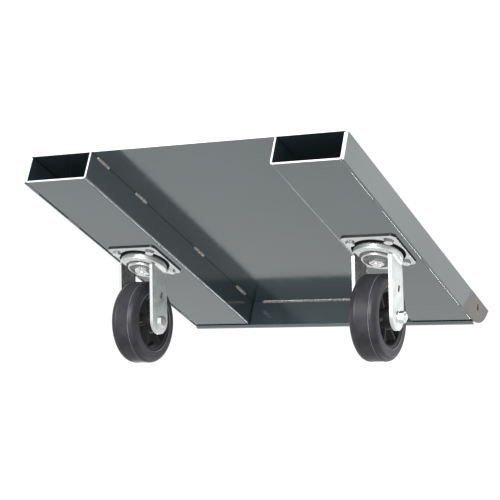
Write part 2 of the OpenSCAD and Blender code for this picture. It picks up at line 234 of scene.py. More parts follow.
def make_cut_edge():
    """Bright sheared steel with fine upright drag lines."""
    material, tree, shader = new_material("cut_edge")
    lines = noise(tree, place(tree, (600, 600, 150)), 1.0, 4, 0.6)
    base = ramp(tree, lines, [(0.3, (0.84, 0.84, 0.83)), (0.7, (0.96, 0.96, 0.95))])
    tree.links.new(base, shader.inputs["Base Color"])
    bump(tree, shader, lines, 0.00005, 0.4)
    set_values(shader, Metallic=0.8, Roughness=0.42)
    return material


def make_weld():
    """Painted-over weld metal, patchy from dark to pale, with a fine grain."""
    material, tree, shader = new_material("painted_weld")
    here = place(tree)
    cloud = noise(tree, here, 300, 4, 0.6)
    base = ramp(tree, cloud, [(0.3, (0.10, 0.105, 0.10)), (0.7, (0.30, 0.30, 0.28))])
    tree.links.new(base, shader.inputs["Base Color"])
    tree.links.new(spread(tree, cloud, 0.3, 0.7, 0.18, 0.34), shader.inputs["Roughness"])
    bump(tree, shader, noise(tree, here, 900, 3, 0.6), 0.0001, 0.5)
    set_values(shader, Metallic=0.5)
    return material


def make_zinc(name, dark, light, rough_low, rough_high, cloud_scale, top_plate=False):
    """Bright zinc plate: cloudy patches, fine grain and faint drawn lines."""
    material, tree, shader = new_material(name)
    here = place(tree)
    cloud = noise(tree, here, cloud_scale, 5, 0.62)
    grain = noise(tree, here, 1100, 3, 0.6)
    drawn = noise(tree, place(tree, (700, 700, 25)), 1.0, 4, 0.6)
    base = ramp(tree, cloud, [(0.32, dark), (0.68, light)])
    if top_plate:  # painted shade on the upright sheared faces, and a near-black painted shadow round the ball race under the crown
        source = tree.nodes.new("ShaderNodeTexCoord")
        level = maths(tree, "ABSOLUTE", along(tree, source.outputs["Normal"], (0, 0, 1)), 0)
        # Painted shade: faces that stand upright are darkened
        base = blend_colours(tree, spread(tree, level, 0.3, 0.8, 1.0, 0.0), base, (0.10, 0.105, 0.11))
        flat = place(tree, (1, 1, 0))
        gap_shade = [near_point(tree, flat, (*JOINTS[side + "_swivel_turn"]["pos_m"][:2], 0), *GAP_SHADE_RADII)
                  for side in SIDES]
        # Painted shadow: a near-black ring on the plate round each ball race
        base = blend_colours(tree, maths(tree, "MAXIMUM", *gap_shade), base, (0.008, 0.008, 0.008))
    tree.links.new(base, shader.inputs["Base Color"])
    matt = spread(tree, cloud, 0.3, 0.7, rough_high, rough_low)
    fine = spread(tree, drawn, 0.3, 0.7, -0.04, 0.06)
    tree.links.new(maths(tree, "ADD", matt, fine), shader.inputs["Roughness"])
    under = bump(tree, shader, grain, 0.00005, 0.45)
    bump(tree, shader, drawn, 0.00004, 0.35, under)
    set_values(shader, Metallic=1.0, Specular_Tint=(0.5, 0.5, 0.5) if top_plate else (1.0, 1.0, 1.0))
    return material


def make_rubber(name, dark, light):
    """Moulded rubber with a slight grey bloom."""
    material, tree, shader = new_material(name)
    here = place(tree)
    cloud = noise(tree, here, 35, 5, 0.65)
    base = ramp(tree, cloud, [(0.3, dark), (0.75, light)])
    tree.links.new(base, shader.inputs["Base Color"])
    tree.links.new(spread(tree, cloud, 0.3, 0.7, 0.38, 0.52), shader.inputs["Roughness"])
    bump(tree, shader, noise(tree, here, 1300, 3, 0.6), 0.00006, 0.5)
    set_values(shader, Specular_IOR_Level=0.32)
    return material


def make_iron():
    """Black painted cast iron with a sand-cast grain."""
    material, tree, shader = new_material("black_iron")
    here = place(tree)
    base = ramp(tree, noise(tree, here, 80, 4), [(0.3, (0.003,) * 3), (0.7, (0.009,) * 3)])
    tree.links.new(base, shader.inputs["Base Color"])
    bump(tree, shader, noise(tree, here, 500, 4, 0.7), 0.00025, 0.6)
    set_values(shader, Roughness=0.55, Specular_IOR_Level=0.22)
    return material


def make_bearing_steel():
    """Ground bearing steel with a thin film of grease."""
    material, tree, shader = new_material("bearing_steel")
    film = noise(tree, place(tree), 220, 4, 0.6)
    base = ramp(tree, film, [(0.35, (0.36, 0.34, 0.30)), (0.65, (0.60, 0.60, 0.60))])
    tree.links.new(base, shader.inputs["Base Color"])
    tree.links.new(spread(tree, film, 0.3, 0.7, 0.22, 0.10), shader.inputs["Roughness"])
    set_values(shader, Metallic=1.0)
    return material


def make_brass():
    """Dull brass of the grease fitting."""
    material, tree, shader = new_material("brass")
    film = noise(tree, place(tree), 500, 4, 0.6)
    base = ramp(tree, film, [(0.3, (0.42, 0.30, 0.11)), (0.7, (0.66, 0.50, 0.20))])
    tree.links.new(base, shader.inputs["Base Color"])
    tree.links.new(spread(tree, film, 0.3, 0.7, 0.40, 0.25), shader.inputs["Roughness"])
    set_values(shader, Metallic=1.0)
    return material


TOW_HOLE = [mount for mount in frame["record"]["mounts"]
            if mount["name"] == "tow_rod_holes"][0]["pos_m"]
GAP_SHADE_RADII = (0.0490, 0.0475)  # radii at which the painted shadow under a top plate ends and starts to fade
PAINT = make_paint()
CUT_EDGE = make_cut_edge()
WELD = make_weld()
ZINC = make_zinc("zinc_plate", (0.62, 0.66, 0.65), (0.82, 0.83, 0.81), 0.30, 0.46, 55)
FASTENER = make_zinc("zinc_fasteners", (0.70, 0.72, 0.73), (0.88, 0.88, 0.86), 0.16, 0.28, 140)
RUBBER = make_rubber("black_rubber", (0.012, 0.012, 0.0145), (0.032, 0.032, 0.038))
# Lighter rubber: painted highlights on ridge lines
RUBBER_HIGHLIGHT = make_rubber("rubber_painted_highlight", (0.09, 0.092, 0.10), (0.22, 0.22, 0.24))
IRON = make_iron()
# Top plates' zinc, with painted shade on upright faces and a painted shadow round each race
PLATE = make_zinc("zinc_sheared_painted_shade", (0.72, 0.76, 0.76), (0.92, 0.94, 0.93), 0.28, 0.42, 55, True)
# A dark copy of the zinc: painted shade for hollows, inner faces and slot walls
SHADED_ZINC = make_zinc("zinc_painted_shade", (0.10, 0.10, 0.095), (0.24, 0.24, 0.225), 0.30, 0.45, 90)
BEARING = make_bearing_steel()
BRASS = make_brass()
MATERIAL_OF_SLOT = {
    "grey_paint": PAINT, "painted_weld": WELD, "zinc_plate": ZINC,
    "zinc_fasteners": FASTENER, "bearing_steel": BEARING, "black_iron": IRON,
    "black_rubber": RUBBER, "brass": BRASS,
}


# ---------- mesh helpers ----------

def filleted(corners, steps=5):
    """A closed outline from corners (u, v, radius), each rounded by an arc."""
    outline = []
    count = len(corners)
    for i, (u, v, radius) in enumerate(corners):
        here = Vector((u, v))
        back = (Vector(corners[i - 1][:2]) - here).normalized()
        ahead = (Vector(corners[(i + 1) % count][:2]) - here).normalized()
        half = back.angle(ahead) / 2
        if radius <= 0 or half > math.radians(89):
            outline.append(here)
            continue
        centre = here + (back + ahead).normalized() * (radius / math.sin(half))
        start = here + back * (radius / math.tan(half)) - centre
        turn = start.angle_signed(here + ahead * (radius / math.tan(half)) - centre)
        for step in range(steps + 1):
            outline.append(centre + Matrix.Rotation(-turn * step / steps, 2) @ start)
    return [(p.x, p.y) for p in outline]


def finish_mesh(mesh, materials, sharp=30):
    """Merges doubles, points the faces outwards and marks edges over sharp degrees."""
    bm = bmesh.new()
    bm.from_mesh(mesh)
    bmesh.ops.remove_doubles(bm, verts=bm.verts, dist=1e-7)
    bmesh.ops.recalc_face_normals(bm, faces=bm.faces)
    for face in bm.faces:
        face.smooth = True
    for edge in bm.edges:
        if len(edge.link_faces) == 2 and edge.calc_face_angle() > math.radians(sharp):
            edge.smooth = False
    bm.to_mesh(mesh)
    bm.free()
    for material in materials:
        mesh.materials.append(material)
    return mesh


def make_mesh(name, points, faces, materials, face_material=None, sharp=30):
    mesh = bpy.data.meshes.new(name)
    mesh.from_pydata([Vector(p) for p in points], [], faces)
    if face_material:
        for polygon, index in zip(mesh.polygons, face_material):
            polygon.material_index = index
    return finish_mesh(mesh, materials, sharp)


AXES = {  # (along, radius, angle) to a point, for a lathe about each axis
    "X": lambda a, r, t: (a, r * math.cos(t), r * math.sin(t)),
    "Z": lambda a, r, t: (r * math.cos(t), r * math.sin(t), a),
}


def tube_faces(gaps, count, closed=True):
    """Faces from each ring of count points to the next one, over a number of gaps, and if
    closed a face over each end."""
    faces = []
    for gap in range(gaps):
        a, b = gap * count, (gap + 1) * count
        for i in range(count):
            j = (i + 1) % count
            faces.append((a + i, a + j, b + j, b + i))
    if closed:
        faces += [tuple(range(count)), tuple(range(gaps * count, (gaps + 1) * count))]
    return faces


def sheet_end_faces(start, count):
    """Faces over the end of a sheet, whose ring from start has count points out along one
    face and as many back along the other."""
    last = start + 2 * count - 1
    return [(start + i, start + i + 1, last - 1 - i, last - i) for i in range(count - 1)]


def lathe(outline, axis, turns=96):
    """Points and faces of a closed outline of (along, radius) turned about an axis."""
    points, faces = [], []
    count = len(outline)
    for step in range(turns):
        angle = 2 * math.pi * step / turns
        points += [AXES[axis](reach, radius, angle) for reach, radius in outline]
    for step in range(turns):
        first, second = step * count, (step + 1) % turns * count
        for i in range(count):
            j = (i + 1) % count
            if outline[i][1] > 1e-7 or outline[j][1] > 1e-7:
                faces.append((first + i, first + j, second + j, second + i))
    return points, faces


def prism(outline, low, high, axis):
    """Points and faces of an outline pushed along X, Y or Z from low to high."""
    def point(u, v, w):
        return {"X": (w, u, v), "Y": (u, w, v), "Z": (u, v, w)}[axis]
    count = len(outline)
    points = [point(u, v, low) for u, v in outline] + [point(u, v, high) for u, v in outline]
    return points, tube_faces(1, count)


def join_parts(*parts):
    """Several (points, faces) pairs as one pair."""
    points, faces = [], []
    for part_points, part_faces in parts:
        start = len(points)
        points += part_points
        faces += [tuple(i + start for i in face) for face in part_faces]
    return points, faces


def moved(part, matrix):
    points, faces = part
    return [tuple(matrix @ Vector(p)) for p in points], faces


def add_piece(name, mesh, body, nodes=(), slot=None, at=(0, 0, 0)):
    """Shows mesh at a place, riding on a body, in place of some CAD nodes. Only the platform's
    painted pieces show in reflections; the casters' pieces don't."""
    piece = bpy.data.objects.new(name, mesh)
    bpy.context.scene.collection.objects.link(piece)
    piece.location = at
    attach(piece, body)
    piece.visible_glossy = slot in ("grey_paint", "painted_weld")
    if nodes:
        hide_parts(*nodes)
    return piece


def round_edges(piece, width, segments=3, angle=40):
    """Rounds the piece's sharp edges and keeps its flat faces flat-shaded."""
    bevel = piece.modifiers.new("edges", "BEVEL")
    bevel.width = width
    bevel.segments = segments
    bevel.limit_method = "ANGLE"
    bevel.angle_limit = math.radians(angle)
    keep_flat(piece)
    return piece


def keep_flat(piece):
    normals = piece.modifiers.new("flat_faces", "WEIGHTED_NORMAL")
    normals.keep_sharp = True
    normals.weight = 100
    return piece


def cut_out(piece, cutter_parts, lining=0):
    """Cuts shapes out of a piece's mesh for good; lining is the cut walls' material number."""
    mesh = bpy.data.meshes.new("cutter")
    mesh.from_pydata([Vector(p) for p in cutter_parts[0]], [], cutter_parts[1])
    finish_mesh(mesh, list(piece.data.materials))
    for face in mesh.polygons:
        face.material_index = lining
    cutter = bpy.data.objects.new("cutter", mesh)
    bpy.context.scene.collection.objects.link(cutter)
    cut = piece.modifiers.new("cut", "BOOLEAN")
    cut.operation = "DIFFERENCE"
    cut.solver = "EXACT"
    cut.object = cutter
    graph = bpy.context.evaluated_depsgraph_get()
    result = bpy.data.meshes.new_from_object(piece.evaluated_get(graph))
    piece.modifiers.remove(cut)
    piece.data = result
    bpy.data.objects.remove(cutter)
    return piece


# ---------- sheet-metal pieces ----------

SHEET = 3.2 * MM
BEND_R = 5 * MM
END_BEND_R = 4 * MM
SKIRT_CORNER_R = 82 * MM
TOW_HOLE_R = 6.5 * MM


def arc(centre, radius, start, stop, steps=10):
    """Points on an arc from start to stop degrees."""
    angles = [math.radians(start + (stop - start) * i / steps) for i in range(steps + 1)]
    return [(centre[0] + radius * math.cos(a), centre[1] + radius * math.sin(a)) for a in angles]


def folded_strip(rows, cut_start, cut_end, chamfer=0.35 * MM):
    """A folded sheet. Each row is (y, outer, inner): outlines of one cross-section, point
    by point on the two faces of the sheet. Its two end cuts are chamfered, and bright at the
    start if cut_start and at the end if cut_end."""
    def chamfered(row, y):
        _, outer, inner = row
        pairs = [(Vector(o), Vector(i)) for o, i in zip(outer, inner)]
        step = [(i - o).normalized() * chamfer for o, i in pairs]
        return (y, [tuple(o + s) for (o, _), s in zip(pairs, step)],
                [tuple(i - s) for (_, i), s in zip(pairs, step)])

    first, last = rows[0], rows[-1]
    body = [(first[0] + chamfer, *first[1:])] + rows[1:-1] + [(last[0] - chamfer, *last[1:])]
    layers = [chamfered(first, first[0])] + body + [chamfered(last, last[0])]
    count = len(first[1])
    points, bright = [], []
    for y, outer, inner in layers:
        points += [(x, y, z) for x, z in outer] + [(x, y, z) for x, z in reversed(inner)]
    ring, gaps = 2 * count, len(layers) - 1
    faces = tube_faces(gaps, ring, False)
    for gap in range(gaps):
        at_cut = (gap == 0 and cut_start) or (gap == gaps - 1 and cut_end)
        bright += [int(at_cut)] * ring
    for start, is_cut in ((0, cut_start), (gaps * ring, cut_end)):
        faces += sheet_end_faces(start, count)
        bright += [int(is_cut)] * (count - 1)
    return points, faces, bright


def make_deck():
    """The folded deck pan: flat top, two skirts, rounded lower far corners, tow rod holes."""
    low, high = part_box("deck_pan")
    sheet = high.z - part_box("left_fork_channel")[1].z
    bend = BEND_R
    corner_r = SKIRT_CORNER_R
    start = high.y - math.sqrt(corner_r ** 2 - (corner_r - high.z + low.z) ** 2)
    bend_low = high.z - bend
    inner_r = bend - sheet

    def skirt_foot(y):
        """Height of the skirt's lower edge at y, which rises round the far corner."""
        if y <= start:
            return low.z
        drop = math.sqrt(corner_r ** 2 - (y - start) ** 2)
        return min(low.z + corner_r - drop, bend_low - 0.2 * MM)

    def section(y):
        foot = skirt_foot(y)
        mid = [foot + (bend_low - foot) * k / 3 for k in range(3)]
        half = high.x
        centre_x = half - bend
        right = [(half, z) for z in mid] + arc((centre_x, bend_low), bend, 0, 90)
        right_in = [(half - sheet, z) for z in mid]
        right_in += arc((centre_x, bend_low), inner_r, 0, 90)
        flat = [0.5, 0.0, -0.5]
        outer = right + [(centre_x * k, high.z) for k in flat]
        inner = right_in + [(centre_x * k, high.z - sheet) for k in flat]
        outer += [(-x, z) for x, z in reversed(right)]
        inner += [(-x, z) for x, z in reversed(right_in)]
        return (y, outer, inner)

    places = [low.y + (start - low.y) * k / 8 for k in range(9)]
    places += [start + corner_r * math.sin(math.radians(a)) for a in range(4, 65, 4)]
    places += [high.y - 1.2 * MM, high.y]
    points, faces, bright = folded_strip([section(y) for y in places], True, True)
    mesh = make_mesh("deck_sheet", points, faces, [PAINT, CUT_EDGE], bright)
    piece = add_piece("deck_sheet", mesh, "root", ["deck_pan"], "grey_paint")
    rod = lathe([(low.x - sheet, 0), (low.x - sheet, TOW_HOLE_R),
                 (high.x + sheet, TOW_HOLE_R), (high.x + sheet, 0)], "X", 48)
    cut_out(piece, moved(rod, Matrix.Translation((0, TOW_HOLE[1], TOW_HOLE[2]))))
    return keep_flat(piece)


def make_channel(side):
    """One fork channel: flat bottom and two flanges, with a bright sheared near end."""
    low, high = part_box(side + "_fork_channel")
    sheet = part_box("deck_pan")[1].z - high.z
    bend = BEND_R
    inner_r = bend - sheet
    middle = (low.x + high.x) / 2
    half = (high.x - low.x) / 2
    floor_z = low.z + bend
    right = [(half, high.z), (half, (high.z + floor_z) / 2)]
    right += arc((half - bend, floor_z), bend, 0, -90)
    right_in = [(half - sheet, high.z), (half - sheet, (high.z + floor_z) / 2)]
    right_in += arc((half - bend, floor_z), inner_r, 0, -90)
    # The flange beside the skirt stops under the deck's bend
    outward = 1 if side == "right" else -1
    short_top = high.z - 2.1 * MM
    flange_top = high.z - 0.6 * MM

    def across(points, sign, top):
        return [(middle + sign * x, min(z, top)) for x, z in points]

    right_top = short_top if outward > 0 else flange_top
    left_top = short_top if outward < 0 else flange_top
    outer = across(right, 1, right_top) + across(right, -1, left_top)[::-1]
    inner = across(right_in, 1, right_top) + across(right_in, -1, left_top)[::-1]
    rows = [(low.y + (high.y - low.y) * k / 8, outer, inner) for k in range(9)]
    points, faces, bright = folded_strip(rows, True, False)
    mesh = make_mesh(side + "_channel_sheet", points, faces, [PAINT, CUT_EDGE], bright)
    piece = add_piece(side + "_channel_sheet", mesh, "root", [side + "_fork_channel"],
                      "grey_paint")
    return keep_flat(piece)


def make_end_plate():
    """The end plate with its bent return flange."""
    low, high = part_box("end_plate")
    sheet = SHEET
    bend = END_BEND_R
    outer = [(low.y, high.z), (low.y, (low.z + high.z) / 2)]
    outer += arc((low.y + bend, low.z + bend), bend, 180, 270, 16) + [(high.y, low.z)]
    inner = [(low.y + sheet, high.z), (low.y + sheet, (low.z + high.z) / 2)]
    inner += arc((low.y + bend, low.z + bend), bend - sheet, 180, 270, 16)
    inner += [(high.y, low.z + sheet)]
    outline = outer + inner[::-1]
    steps = 8
    points = []
    for k in range(steps + 1):
        x = low.x + (high.x - low.x) * k / steps
        points += [(x, y, z) for y, z in outline]
    faces = tube_faces(steps, len(outline), False)
    for start in (0, steps * len(outline)):
        faces += sheet_end_faces(start, len(outer))
    mesh = make_mesh("end_sheet", points, faces, [PAINT])
    piece = add_piece("end_sheet", mesh, "root", ["end_plate"], "grey_paint")
    return round_edges(piece, 0.4 * MM, 2)


# ---------- welds ----------

def weld_bead(draw, start, end, side_a, side_b, leg):
    """A rippled fillet bead from start to end in the corner between two sheet faces, which
    leave the corner along side_a and side_b."""
    start, end, side_a, side_b = (Vector(v) for v in (start, end, side_a, side_b))
    length = (end - start).length
    ripple = 2.6 * MM
    rows = max(8, int(length / (ripple / 6)))
    around = 8
    points = []
    for row in range(rows + 1):
        run = length * row / rows
        taper = min(1.0, math.sqrt(min(run, length - run) / (3 * MM) + 0.02))
        wave = abs(math.sin(math.pi * run / ripple))
        size = leg * taper * (0.90 + 0.12 * wave + draw.uniform(-0.02, 0.02))
        middle = start.lerp(end, row / rows)
        points.append(middle)
        for k in range(around + 1):
            turn = math.pi / 2 * k / around
            full = 0.72 + 0.10 * math.sin(2 * turn)
            reach = size * (full + (1 - full) * abs(math.cos(2 * turn)))
            points.append(middle + side_a * (reach * math.cos(turn))
                          + side_b * (reach * math.sin(turn)))
    return [tuple(p) for p in points], tube_faces(rows, around + 2)


STITCH = 40 * MM
CHANNEL_STITCHES = (20, 152, 378, 560)
SKIRT_STITCHES = (4, 138, 365, 570)


def make_welds():
    """Stitch beads along the channels and the skirts, and one bead across the end plate."""
    draw = random.Random(5)
    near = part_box("deck_pan")[0].y
    beads_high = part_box("channel_welds")[1]
    corner, under = beads_high.x, beads_high.z
    seam_low, seam_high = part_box("skirt_welds")
    seam, foot = seam_high.x, seam_low.z - 0.2 * MM
    end_low, end_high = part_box("end_plate_welds")
    beads, seams = [], []
    for way in (-1, 1):
        for start in CHANNEL_STITCHES:
            y = near + start * MM
            beads.append(weld_bead(draw, (way * corner, y, under), (way * corner, y + STITCH, under),
                                   (-way, 0, 0), (0, 0, -1), 3.8 * MM))
        for start in SKIRT_STITCHES:
            y = near + start * MM
            seams.append(weld_bead(draw, (way * seam, y, foot), (way * seam, y + STITCH, foot),
                                   (-way, 0, 0), (0, 0, 1), 3.0 * MM))
    end_bead = weld_bead(draw, (end_low.x, end_high.y, under), (end_high.x, end_high.y, under),
                         (0, -1, 0), (0, 0, -1), 3.6 * MM)
    for name, parts, node in (("channel_beads", beads, "channel_welds"),
                              ("seam_beads", seams, "skirt_welds"),
                              ("end_beads", [end_bead], "end_plate_welds")):
        mesh = make_mesh(name, *join_parts(*parts), [WELD], sharp=70)
        add_piece(name, mesh, "root", [node], "painted_weld")


# ---------- wheels ----------

def make_tyre(side):
    """Moulded-on tyre: round shoulders, a fine ridge at each edge of the tread and wall. The
    tread's +X ridge and the inner rim of both walls are painted lighter: painted highlights."""
    low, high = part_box(side + "_tyre")
    half = (high.x - low.x) / 2
    outer = (high.y - low.y) / 2
    inner = 51.5 * MM
    shoulder = 12 * MM
    ridge = 0.45 * MM
    tread = half - shoulder
    wall = outer - shoulder

    def one_side():
        """From the tread's middle to the bore, on the +X side."""
        yield (0.0, outer - ridge)
        yield (tread / 2, outer - ridge)
        yield (tread - 2.4 * MM, outer - ridge)
        yield (tread - 1.3 * MM, outer - ridge)
        yield (tread - 0.6 * MM, outer)
        yield (tread + 0.1 * MM, outer)
        yield (tread + 0.8 * MM, outer - ridge)
        for step in range(3, 15):
            turn = math.pi / 2 * step / 15
            yield (tread + shoulder * math.sin(turn), wall + shoulder * math.cos(turn))
        yield (half - 0.1 * MM, wall + 0.6 * MM)
        yield (half - ridge, wall - 0.2 * MM)
        yield (half, wall - 1.2 * MM)
        yield (half, wall - 2.2 * MM)
        yield (half, inner + 6 * MM)
        yield (half, inner + 5 * MM)
        yield (half - 0.8 * MM, inner + 3.6 * MM)
        yield (half - 2.6 * MM, inner + 3.0 * MM)
        yield (half - 3.2 * MM, inner + 1.0 * MM)
        yield (half - 3.4 * MM, inner)

    right = list(one_side())
    outline = right + [(-x, r) for x, r in reversed(right[1:])]
    points, faces = lathe(outline, "X", 160)
    marks = []
    for face in faces:
        reach = [math.hypot(*points[i][1:]) for i in face]
        out = [abs(points[i][0]) for i in face]
        # Painted highlights: a line at the tread's +X ridge and at each wall's inner rim
        edge = min(out) > tread - 0.7 * MM and max(out) < tread + 0.2 * MM and points[face[0]][0] > 0
        rim = min(out) > half - 0.9 * MM and max(reach) < inner + 5.1 * MM
        marks.append(1 if edge or rim else 0)
    mesh = make_mesh(side + "_moulded_tyre", points, faces, [RUBBER, RUBBER_HIGHLIGHT], marks, 50)
    axle = JOINTS[side + "_wheel_spin"]["pos_m"]
    return add_piece(side + "_moulded_tyre", mesh, side + "_wheel", [side + "_tyre"],
                     "black_rubber", axle)


def make_core(side):
    """Cast-iron core: rim, thin web with six ribs, and a long hub."""
    rim_r, rim_in, hub_r, bore_r = 51.4 * MM, 48 * MM, 20 * MM, 13.4 * MM
    rim_half, web_half, hub_half, rib_half = 22 * MM, 4 * MM, 28.4 * MM, 17 * MM
    face = [(rim_half, rim_r, 0.8), (rim_half, rim_in, 1), (web_half, rim_in - 2 * MM, 6),
            (web_half, hub_r + 2.4 * MM, 6), (hub_half, hub_r, 1.2), (hub_half, bore_r, 0.6)]
    corners = [(x, r, f * MM) for x, r, f in face]
    corners += [(-x, r, f * MM) for x, r, f in reversed(face)]
    parts = [lathe(filleted(corners), "X", 96)]
    rib = filleted([(hub_r - 2 * MM, -rib_half, 0), (rim_in + 2 * MM, -rib_half - 2 * MM, 0),
                    (rim_in + 2 * MM, rib_half + 2 * MM, 0), (hub_r - 2 * MM, rib_half, 0)])
    for k in range(6):
        flat, faces = prism(rib, -3 * MM, 3 * MM, "Z")
        blade = [(x, z, -r) for r, x, z in flat]
        parts.append(moved((blade, faces), Matrix.Rotation(math.radians(60 * k), 4, "X")))
    mesh = make_mesh(side + "_cast_core", *join_parts(*parts), [IRON], sharp=40)
    axle = JOINTS[side + "_wheel_spin"]["pos_m"]
    piece = add_piece(side + "_cast_core", mesh, side + "_wheel", [side + "_wheel_core"],
                      "black_iron", axle)
    return round_edges(piece, 0.7 * MM, 2, 50)


# ---------- casters ----------

CROWN_R = 44 * MM
LEG_IN, LEG_OUT = 31 * MM, 37 * MM
LEG_END_R = 26 * MM
LEG_END_UP = 3 * MM
LEG_TOP_HALF = 27 * MM


def fork_leg(top_z, end_y, end_z):
    """One fork leg on the +X side: straight edges into a round end, flared into the crown."""
    knee_z = top_z - 8 * MM
    flare = 8 * MM

    def edge_y(z, way):
        """The leg's front (way -1) or back (way 1) edge at height z."""
        start = Vector((way * LEG_TOP_HALF, knee_z))
        to_start = start - Vector((end_y, end_z))
        turn = math.acos(LEG_END_R / to_start.length) * -way
        angle = math.atan2(to_start.y, to_start.x) + turn
        touch = Vector((end_y + LEG_END_R * math.cos(angle), end_z + LEG_END_R * math.sin(angle)))
        if z >= knee_z:
            return start.x
        if z >= touch.y:
            return start.x + (touch.x - start.x) * (knee_z - z) / (knee_z - touch.y)
        return end_y + way * math.sqrt(max(LEG_END_R ** 2 - (z - end_z) ** 2, 0))

    heights = [top_z - flare * k / 8 for k in range(9)]
    heights += [knee_z + (end_z + 12 * MM - knee_z) * k / 12 for k in range(1, 13)]
    heights += [end_z + LEG_END_R * math.sin(math.radians(a)) for a in range(20, -90, -6)]
    columns = 14
    layers = []
    for z in heights:
        lift = max(0.0, (z - knee_z) / flare)
        grow = flare * (1 - math.sqrt(max(0.0, 1 - min(lift, 0.995) ** 2)))
        front, back = edge_y(z, -1) - 0.5 * grow, edge_y(z, 1) + 0.5 * grow
        row = []
        for k in range(columns + 1):
            y = front + (back - front) * k / columns
            x_out = LEG_OUT + 0.8 * grow
            over = math.hypot(x_out, y) / (CROWN_R - 1.2 * MM)
            if over > 1:
                pull = 1 + (over - 1) * min(1.0, lift * 1.5)
                x_out, y_out = x_out / pull, y / pull
            else:
                y_out = y
            row.append(((x_out, y_out, z), (LEG_IN, y, z)))
        layers.append(row)
    points = []
    for row in layers:
        points += [out for out, _ in row] + [inside for _, inside in reversed(row)]
    ring, gaps = 2 * (columns + 1), len(layers) - 1
    faces = tube_faces(gaps, ring, False)
    for start in (0, gaps * ring):
        faces += sheet_end_faces(start, columns + 1)
    return points, faces


def inside_faces(points, faces, radius, top):
    """1 for each face that lies inside a radius round Z and below top, else 0."""
    marks = []
    for face in faces:
        reach = max(math.hypot(*points[i][:2]) for i in face)
        height = max(points[i][2] for i in face)
        marks.append(1 if reach < radius and height < top else 0)
    return marks


def make_fork(side):
    """The pressed fork: a round crown, hollow underneath, and two flared legs with a slot each."""
    crown_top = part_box(side + "_fork")[1].z
    swivel = JOINTS[side + "_swivel_turn"]["pos_m"]
    axle = JOINTS[side + "_wheel_spin"]["pos_m"]
    roof_z, crown_low = crown_top - 6 * MM, crown_top - 11 * MM
    crown = filleted([
        (crown_top, 8.2 * MM, 0.5 * MM), (crown_top, CROWN_R, 2.5 * MM),
        (crown_low, CROWN_R, 2.0 * MM), (crown_low, LEG_IN + 1.5 * MM, 1.6 * MM),
        (roof_z, LEG_IN, 2.5 * MM), (roof_z, 8.2 * MM, 0.5 * MM)])
    leg = fork_leg(crown_low + 2.0 * MM, axle[1] - swivel[1], axle[2] + LEG_END_UP)
    mirror = Matrix.Scale(-1, 4, (1, 0, 0))
    name = side + "_pressed_fork"
    legs = join_parts(leg, moved(leg, mirror))
    # The legs' inner faces take the dark zinc: painted shade
    inner = [1 if max(abs(legs[0][i][0]) for i in face) < LEG_IN + 0.3 * MM else 0
             for face in legs[1]]
    leg_mesh = make_mesh(name, *legs, [ZINC, SHADED_ZINC], inner, 40)
    at = (swivel[0], swivel[1], 0)
    piece = add_piece(name, leg_mesh, side + "_swivel", [side + "_fork"], "zinc_plate", at)
    slot_y, slot_z = 24.75 * MM, axle[2] + 48 * MM
    slot_half, slot_tall = 3.75 * MM, 6 * MM
    slot_outline = filleted([(slot_y + v * slot_half, slot_z + w * slot_tall, 1.5 * MM)
                             for v, w in ((-1, -1), (1, -1), (1, 1), (-1, 1))])
    slots = join_parts(prism(slot_outline, 25 * MM, 45 * MM, "X"),
                       prism(slot_outline, -45 * MM, -25 * MM, "X"))
    # The slots' walls take the dark zinc: painted shade
    cut_out(piece, moved(slots, Matrix.Translation(at)), 1)
    round_edges(piece, 1.1 * MM, 3, 50)
    points, faces = lathe(crown, "Z", 128)
    # Faces under the crown's roof take the dark zinc: painted shade
    ring_mesh = make_mesh(side + "_crown", points, faces, [ZINC, SHADED_ZINC],
                          inside_faces(points, faces, LEG_IN + 1.8 * MM, roof_z + 1 * MM), 40)
    crown_piece = add_piece(side + "_crown", ring_mesh, side + "_swivel", (), "zinc_plate", at)
    return keep_flat(crown_piece)


def hex_shape(flats, height, bore=0.0, both_ends=True):
    """A hexagonal nut or bolt head along +Z from 0, with its corners chamfered."""
    steps = 60
    apothem = flats / 2
    points, faces = [], []
    chamfer_r = apothem * 0.97

    def rim(angle):
        """Distance to the hexagon's outline, and how far the chamfer takes its edge down."""
        local = (angle + math.pi / 6) % (math.pi / 3) - math.pi / 6
        radius = apothem / math.cos(local)
        return radius, max(0.0, radius - chamfer_r) * math.tan(math.radians(30))

    for step in range(steps):
        angle = 2 * math.pi * step / steps
        radius, fall = rim(angle)
        base_fall = fall if both_ends else 0.0
        base_r = chamfer_r if both_ends else radius
        for r, z in ((bore, 0.0), (base_r, 0.0), (radius, base_fall), (radius, height - fall),
                     (chamfer_r, height), (bore, height)):
            points.append((r * math.cos(angle), r * math.sin(angle), z))
    for step in range(steps):
        a, b = step * 6, (step + 1) % steps * 6
        for i in range(6):
            j = (i + 1) % 6
            if bore > 0 or i != 5:
                faces.append((a + i, a + j, b + j, b + i))
    return points, faces


def thread(radius, low, high, pitch=1.6 * MM):
    """A threaded rod end along Z with a real helix and a chamfered tip at low."""
    around, depth = 24, 0.45 * MM
    rows = max(4, int((high - low) / (pitch / 6)))
    points = []
    for row in range(rows + 1):
        z = low + (high - low) * row / rows
        tip = max(0.0, 1 - (z - low) / (1.2 * MM)) * 1.0 * MM
        for k in range(around):
            angle = 2 * math.pi * k / around
            phase = ((z / pitch) + k / around) % 1.0
            r = radius - depth * abs(2 * phase - 1) - tip
            points.append((r * math.cos(angle), r * math.sin(angle), z))
    return points, tube_faces(rows, around)


